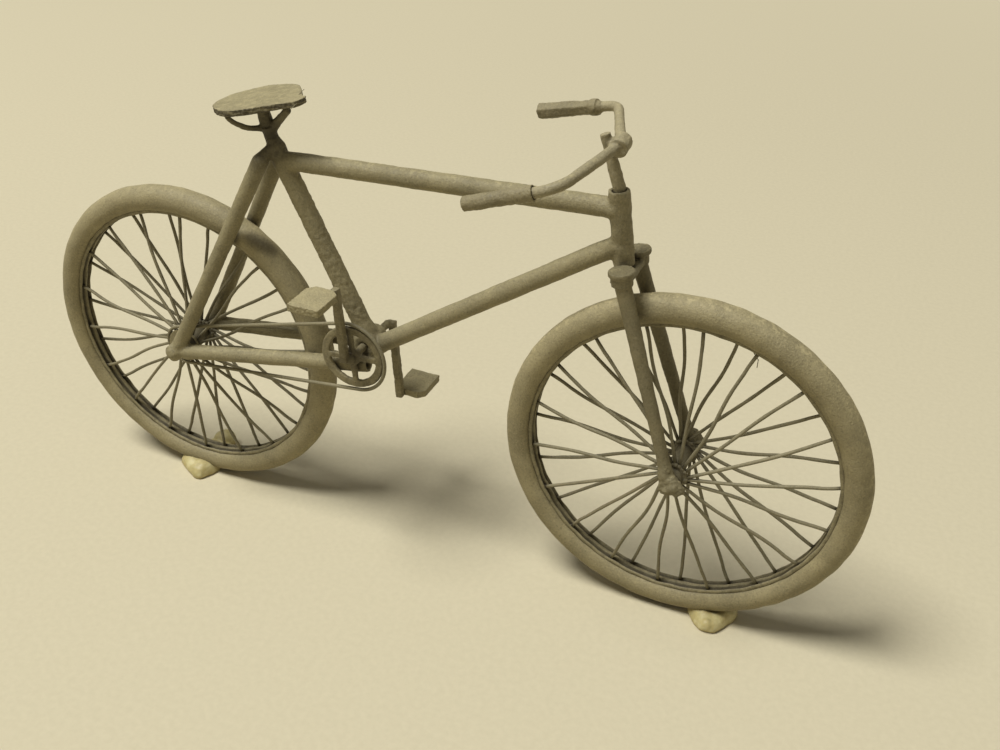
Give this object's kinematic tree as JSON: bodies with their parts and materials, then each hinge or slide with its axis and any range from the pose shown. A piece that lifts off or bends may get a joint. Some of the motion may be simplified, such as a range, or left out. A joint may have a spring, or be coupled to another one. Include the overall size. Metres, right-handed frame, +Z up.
{
  "type": "scale model bicycle",
  "caption": "Small hand-built model of a diamond-frame bicycle in grey-olive paint, with wire spokes and a wire chain, standing in dabs of putty.",
  "frame": {"origin": "on the floor, under the rear axle, in the middle of the rear putty pad's base", "axes": "+X forward, +Y to the rider's left, +Z up"},
  "size_m": [0.1127, 0.0235, 0.0612],
  "materials": {
    "painted_stock": "matte grey-olive spray paint over plastic rod and tube",
    "painted_wire": "matte grey-olive spray paint over wire",
    "painted_tyre": "matte grey-olive spray paint, grainy",
    "putty": "soft off-white modelling putty, pinched"
  },
  "bodies": {
    "frame": {"head_tube": "painted_stock", "top_tube": "painted_stock", "down_tube": "painted_stock", "seat_tube": "painted_stock", "bottom_bracket": "painted_stock", "chain_stay_right": "painted_stock", "chain_stay_left": "painted_stock", "seat_stay_right": "painted_stock", "seat_stay_left": "painted_stock", "rear_dropouts": "painted_stock", "rear_axle": "painted_wire", "seat_post": "painted_wire", "saddle_struts": "painted_wire", "saddle_plate": "painted_stock", "chain": "painted_wire", "putty_rear": "putty"},
    "steering": {"fork_crown": "painted_stock", "fork_blade_right": "painted_stock", "fork_blade_left": "painted_stock", "fork_tips": "painted_stock", "front_axle": "painted_wire", "stem": "painted_wire", "bar_clamp": "painted_stock", "handlebar": "painted_wire", "grip_right": "painted_stock", "grip_left": "painted_stock", "putty_front": "putty"},
    "front_wheel": {"front_tyre": "painted_tyre", "front_rim": "painted_stock", "front_hub": "painted_wire"},
    "rear_wheel": {"rear_tyre": "painted_tyre", "rear_rim": "painted_stock", "rear_hub": "painted_wire", "rear_sprocket": "painted_stock"},
    "crankset": {"chainring": "painted_stock", "crank_axle": "painted_wire", "crank_right": "painted_stock", "crank_left": "painted_stock", "pedal_right": "painted_stock", "pedal_left": "painted_stock"}
  },
  "joints": [
    {"name": "steering", "type": "hinge", "parent": "frame", "child": "steering", "pos_m": [0.0597, 0, 0.0464], "axis": [-0.1478, 0, 0.989], "range_deg": [-30, 30]},
    {"name": "front_wheel_spin", "type": "hinge", "parent": "steering", "child": "front_wheel", "pos_m": [0.0687, 0, 0.02235], "axis": [0, 1, 0], "continuous": true},
    {"name": "rear_wheel_spin", "type": "hinge", "parent": "frame", "child": "rear_wheel", "pos_m": [0, 0, 0.02235], "axis": [0, 1, 0], "continuous": true},
    {"name": "crank_spin", "type": "hinge", "parent": "frame", "child": "crankset", "pos_m": [0.0276, 0, 0.02875], "axis": [0, 1, 0], "continuous": true}
  ]
}
